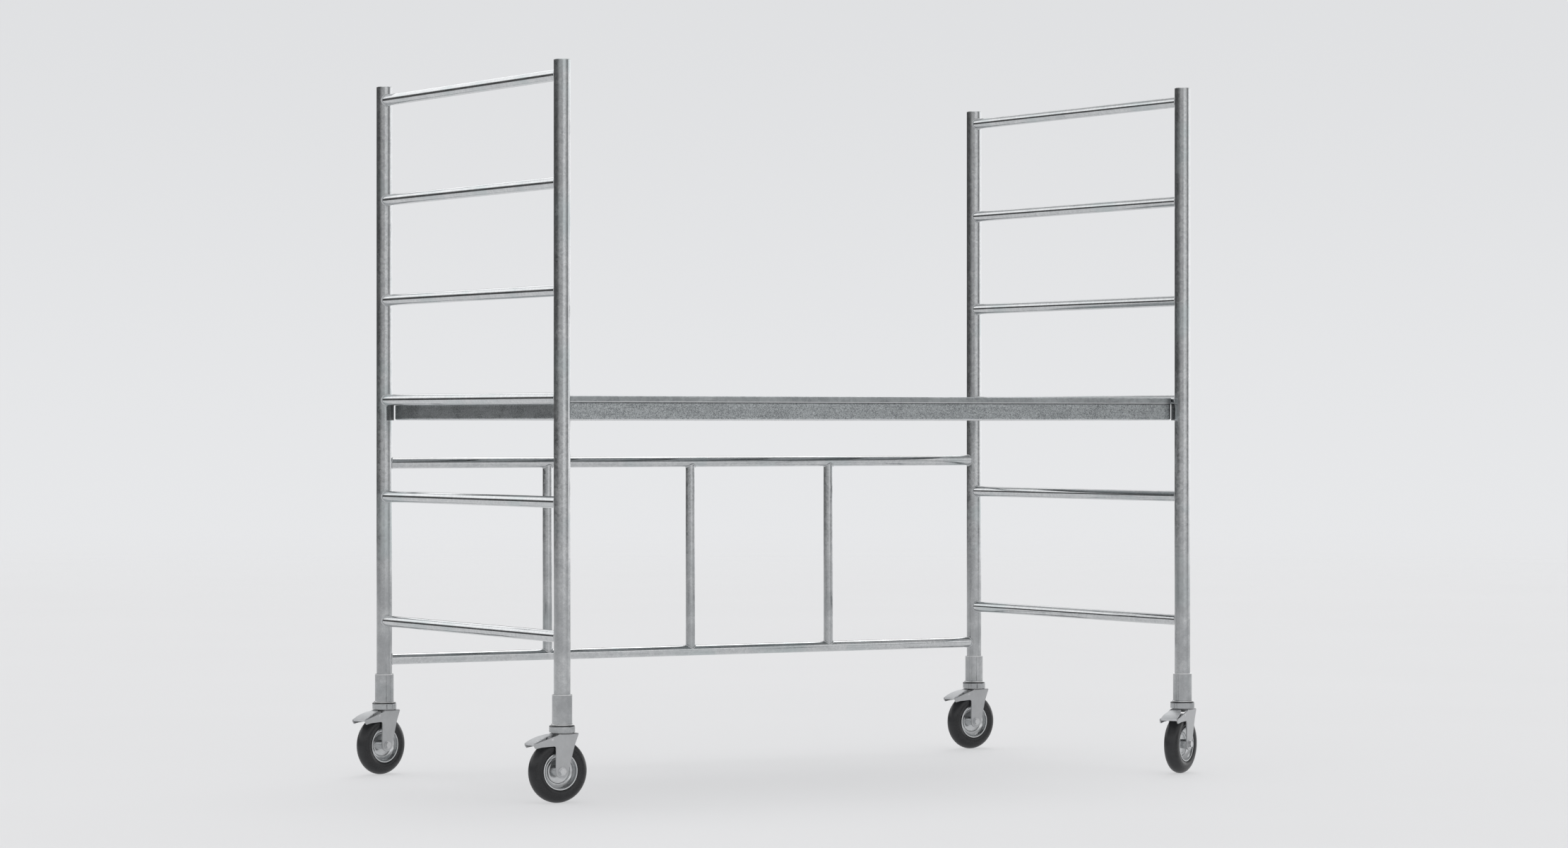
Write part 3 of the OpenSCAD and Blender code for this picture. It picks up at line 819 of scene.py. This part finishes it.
class SCAFFOLD_OT_finish_forks(bpy.types.Operator):
    """Finish the forks, brake pedals, axles and pins"""

    bl_idname = "scaffold.finish_forks"
    bl_label = "Finish Forks"

    def execute(self, context):
        finish(plated_pressing("fork_plating"), *at_corners("fork"))
        # Painted light: the pedals take the fork's plating 1.38 times lighter, for their upward face.
        finish(plated_pressing("pedal_lit_plating", tone=1.38), *at_corners("brake_pedal"))
        bolt = bright_steel("axle_steel", tone=0.74, roughness=0.26)
        finish(bolt, *at_corners("axle"), *at_corners("pedal_pin"))
        return {"FINISHED"}


class SCAFFOLD_OT_finish_wheels(bpy.types.Operator):
    """Finish each wheel's rim and tyre round its own axle"""

    bl_idname = "scaffold.finish_wheels"
    bl_label = "Finish Wheels"

    def execute(self, context):
        for corner in CORNERS:
            centre, axle = joint_axis(f"{corner}_wheel_spin")
            finish(rim_steel(f"{corner}_rim_steel", centre, axle), f"{corner}_rim")
            tyre = f"{corner}_tyre"
            finish(tyre_rubber(f"{tyre}_rubber", centre, axle, tube_radius(tyre, 2)), tyre)
        return {"FINISHED"}


# ---------- weld beads ----------


def add_bead(mesh, start, out, main_axis, branch_r, main_r):
    """Adds one bead to a bmesh, round a branch tube that leaves a main tube.

    start is on both tubes' axes, out points along the branch and main_axis along the main tube.
    """
    welds = bpy.context.scene.scaffold_welds
    side = out.cross(main_axis).normalized()
    places = PLACES_PER_RIPPLE * welds.ripples
    # Each joint's ripples start somewhere else.
    phase = start.x * 90 + start.z * 40
    rings = []
    for i in range(places):
        angle = 2 * math.pi * i / places
        across = branch_r * math.cos(angle)
        radial = side * math.cos(angle) + main_axis * math.sin(angle)
        reach = math.sqrt(max(main_r**2 - across**2, 0.0))
        surface = (side * across + out * reach).normalized()
        bisector = (radial + surface).normalized()
        swell = welds.radius * (1 + welds.ripple * math.sin(welds.ripples * angle + phase))
        centre = start + radial * branch_r + out * reach + bisector * (BEAD_STAND_OFF * welds.radius)
        forward = (main_axis * math.cos(angle) - side * math.sin(angle)).normalized()
        other = forward.cross(bisector).normalized()
        ring = []
        for k in range(BEAD_SIDES):
            turn = 2 * math.pi * k / BEAD_SIDES
            outward = bisector * math.cos(turn) + other * math.sin(turn)
            ring.append(mesh.verts.new(centre + outward * swell))
        rings.append(ring)
    for i, ring in enumerate(rings):
        after = rings[(i + 1) % places]
        for k in range(BEAD_SIDES):
            following = (k + 1) % BEAD_SIDES
            mesh.faces.new((ring[k], ring[following], after[following], after[k]))


def finished_piece(name, mesh, material, body):
    """Turns a bmesh into a smooth piece that rides on a body."""
    bmesh.ops.recalc_face_normals(mesh, faces=mesh.faces)
    data = bpy.data.meshes.new(name)
    mesh.to_mesh(data)
    mesh.free()
    for face in data.polygons:
        face.use_smooth = True
    data.materials.append(material)
    piece = bpy.data.objects.new(name, data)
    bpy.context.scene.collection.objects.link(piece)
    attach(piece, body)
    return piece


class SCAFFOLD_OT_add_ladder_welds(bpy.types.Operator):
    """Add the weld beads that hold the rungs between the uprights"""

    bl_idname = "scaffold.add_ladder_welds"
    bl_label = "Add Ladder Welds"

    def execute(self, context):
        material = weld_metal("ladder_weld_metal")
        for end in ENDS:
            mesh = bmesh.new()
            for n in RUNGS:
                rung = f"{end}_rung_{n}"
                at = middle(rung)
                branch_r = tube_radius(rung, 2)
                for place, out in (("front", AXES["y"]), ("rear", -AXES["y"])):
                    upright = f"{place}_{end}_upright"
                    start = Vector((at.x, middle(upright).y, at.z))
                    add_bead(mesh, start, out, AXES["z"], branch_r, tube_radius(upright, 0))
            finished_piece(f"{end}_ladder_welds", mesh, material, FIXED)
        return {"FINISHED"}


class SCAFFOLD_OT_add_panel_welds(bpy.types.Operator):
    """Add the weld beads of the side panel's rails and posts"""

    bl_idname = "scaffold.add_panel_welds"
    bl_label = "Add Panel Welds"

    def execute(self, context):
        mesh = bmesh.new()
        low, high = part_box("rear_posts")
        post_r = (high.y - low.y) / 2
        top, bottom = (middle(rail) for rail in RAILS)
        rail_r = tube_radius(RAILS[0], 2)
        for rail in (top, bottom):
            for end, out in (("left", AXES["x"]), ("right", -AXES["x"])):
                upright = f"rear_{end}_upright"
                start = Vector((middle(upright).x, rail.y, rail.z))
                add_bead(mesh, start, out, AXES["z"], rail_r, tube_radius(upright, 1))
        for x in (low.x + post_r, (low.x + high.x) / 2, high.x - post_r):
            for rail, out in ((bottom, AXES["z"]), (top, -AXES["z"])):
                start = Vector((x, rail.y, rail.z))
                add_bead(mesh, start, out, AXES["x"], post_r, rail_r)
        finished_piece("panel_welds", mesh, weld_metal("panel_weld_metal"), FIXED)
        return {"FINISHED"}


# ---------- studio ----------


class SCAFFOLD_OT_build_stage(bpy.types.Operator):
    """Lay the pale floor and set the soft studio light"""

    bl_idname = "scaffold.build_stage"
    bl_label = "Build Stage"

    def execute(self, context):
        studio = context.scene.scaffold_studio
        self.lay_floor(studio)
        self.light_room(context, studio)
        return {"FINISHED"}

    def lay_floor(self, studio):
        mesh = bmesh.new()
        bmesh.ops.create_circle(mesh, cap_ends=True, segments=96, radius=studio.floor_radius)
        data = bpy.data.meshes.new("studio_floor")
        mesh.to_mesh(data)
        mesh.free()
        material, shader, wire = new_material("floor_paper")
        place = surface_place(wire)
        tone = noise(place, 1.6, 3.0, 0.5)
        distance = place.make("ShaderNodeVectorMath", {"operation": "LENGTH"}, {0: place}, "Value")
        far = distance.step(studio.fade_start, studio.fade_start * 3.0)
        paper = mixed(tone, toned(studio.floor, 0.975), toned(studio.floor))
        feed(shader, base_color=paper, roughness=0.85, alpha=1.0 - far)
        feed(shader, emission_color=paper, emission_strength=studio.glow)
        shader.inputs["Specular IOR Level"].default_value = 0.1
        data.materials.append(material)
        floor = bpy.data.objects.new("studio_floor", data)
        bpy.context.scene.collection.objects.link(floor)

    def grey(self, value):
        """The room's faintly cool grey of this brightness."""
        return (value, value * 1.003, value * 1.012, 1.0)

    def round_room(self, bearing, *stops):
        """Brightness round the compass. Each stop is a bearing and a brightness."""
        settings = {"stops": [(at, self.grey(value)) for at, value in stops], "interpolation": "EASE"}
        return bearing.make("ShaderNodeValToRGB", settings, {"Fac": bearing}, "Color")

    def light_room(self, context, studio):
        world = bpy.data.worlds.new("soft_studio")
        context.scene.world = world
        world.use_nodes = True
        tree = world.node_tree
        tree.nodes.clear()
        wire = Wire(tree)
        ray = wire.make("ShaderNodeTexCoord", result="Generated")
        bearing = wire.maths("ARCTAN2", ray.part("y"), ray.part("x")) / (2 * math.pi) + 0.5
        # Brightness of the room's walls round the compass: the stops go from west through south,
        # east and north, and back to west.
        walls = self.round_room(
            bearing,
            (0.00, 0.12),
            (0.09, 0.40),
            (0.165, 0.44),
            (0.25, 0.86),
            (0.33, 0.62),
            (0.375, 0.15),
            (0.42, 0.50),
            (0.47, 1.30),
            (0.652, 1.30),
            (0.670, 0.05),
            (0.96, 0.05),
            (1.00, 0.12),
        )
        # The light boxes above the walls: bright to the north and the west, dim to the east.
        boxes = self.round_room(
            bearing, (0.00, 1.18), (0.38, 1.05), (0.46, 0.42), (0.655, 0.42), (0.69, 1.40), (1.00, 1.18)
        )
        height = ray.part("z")
        overhead = height.step(0.17, 0.30)
        # The ceiling is dim above the boxes and bright again straight overhead.
        roof = mixed(height.step(0.40, 0.60), boxes, self.grey(studio.ceiling * 0.40))
        roof = mixed(height.step(0.86, 0.97), roof, self.grey(studio.ceiling * 0.90))
        lit = mixed(overhead, walls, roof)
        lit = mixed(height.step(-0.20, -0.12), toned(studio.backdrop), lit)
        # The camera sees a plain backdrop instead of the room, a little paler low down.
        pale, deep = toned(studio.backdrop, 1.045), toned(studio.backdrop, 0.975)
        backdrop = mixed(height.step(-0.03, 0.11), pale, deep)
        seen = wire.make("ShaderNodeLightPath", result="Is Camera Ray")
        shown = mixed(seen, lit, backdrop)
        light = shown.make("ShaderNodeBackground", None, {"Color": shown, "Strength": 1.0})
        light.make("ShaderNodeOutputWorld", None, {"Surface": light})

        key = bpy.data.lights.new("key_light", "SUN")
        key.energy = studio.sun
        key.angle = KEY_WIDTH
        lamp = bpy.data.objects.new("key_light", key)
        lamp.rotation_euler = (KEY_LEAN, 0.0, KEY_TURN)
        context.scene.collection.objects.link(lamp)
        context.scene.view_settings.view_transform = "Standard"


class SCAFFOLD_OT_place_camera(bpy.types.Operator):
    """Stand the camera in front of the scaffold, level and off its left corner"""

    bl_idname = "scaffold.place_camera"
    bl_label = "Place Camera"

    def execute(self, context):
        studio = context.scene.scaffold_studio
        data = bpy.data.cameras.new("scaffold_camera")
        data.sensor_fit = "HORIZONTAL"
        data.sensor_width = SENSOR_WIDTH
        data.lens = studio.lens
        data.clip_end = FAR_CLIP
        camera = bpy.data.objects.new("scaffold_camera", data)
        camera.location = studio.eye
        camera.rotation_euler = (math.radians(90), 0.0, -studio.heading)
        context.scene.collection.objects.link(camera)
        context.scene.camera = camera
        return {"FINISHED"}


STEPS = (
    SCAFFOLD_OT_place_camera,
    SCAFFOLD_OT_build_stage,
    SCAFFOLD_OT_finish_tubes,
    SCAFFOLD_OT_finish_deck,
    SCAFFOLD_OT_finish_sockets,
    SCAFFOLD_OT_finish_forks,
    SCAFFOLD_OT_finish_wheels,
    SCAFFOLD_OT_add_ladder_welds,
    SCAFFOLD_OT_add_panel_welds,
)


class SCAFFOLD_PT_panel(bpy.types.Panel):
    """Lists the scaffold's operators"""

    bl_idname = "SCAFFOLD_PT_panel"
    bl_label = "Baker Scaffold"
    bl_space_type = "VIEW_3D"
    bl_region_type = "UI"
    bl_category = "Scaffold"

    def draw(self, context):
        for step in STEPS:
            self.layout.operator(step.bl_idname)


GROUPS = {
    "scaffold_zinc": ScaffoldZinc,
    "scaffold_deck": ScaffoldDeck,
    "scaffold_casters": ScaffoldCasters,
    "scaffold_welds": ScaffoldWelds,
    "scaffold_studio": ScaffoldStudio,
}


def register():
    for name, group in GROUPS.items():
        bpy.utils.register_class(group)
        setattr(bpy.types.Scene, name, PointerProperty(type=group))
    for step in STEPS:
        bpy.utils.register_class(step)
    bpy.utils.register_class(SCAFFOLD_PT_panel)


def unregister():
    bpy.utils.unregister_class(SCAFFOLD_PT_panel)
    for step in reversed(STEPS):
        bpy.utils.unregister_class(step)
    for name, group in GROUPS.items():
        delattr(bpy.types.Scene, name)
        bpy.utils.unregister_class(group)


def main():
    register()
    bpy.ops.scaffold.place_camera()
    bpy.ops.scaffold.build_stage()
    bpy.ops.scaffold.finish_tubes()
    bpy.ops.scaffold.finish_deck()
    bpy.ops.scaffold.finish_sockets()
    bpy.ops.scaffold.finish_forks()
    bpy.ops.scaffold.finish_wheels()
    bpy.ops.scaffold.add_ladder_welds()
    bpy.ops.scaffold.add_panel_welds()


if __name__ == "__main__":
    main()
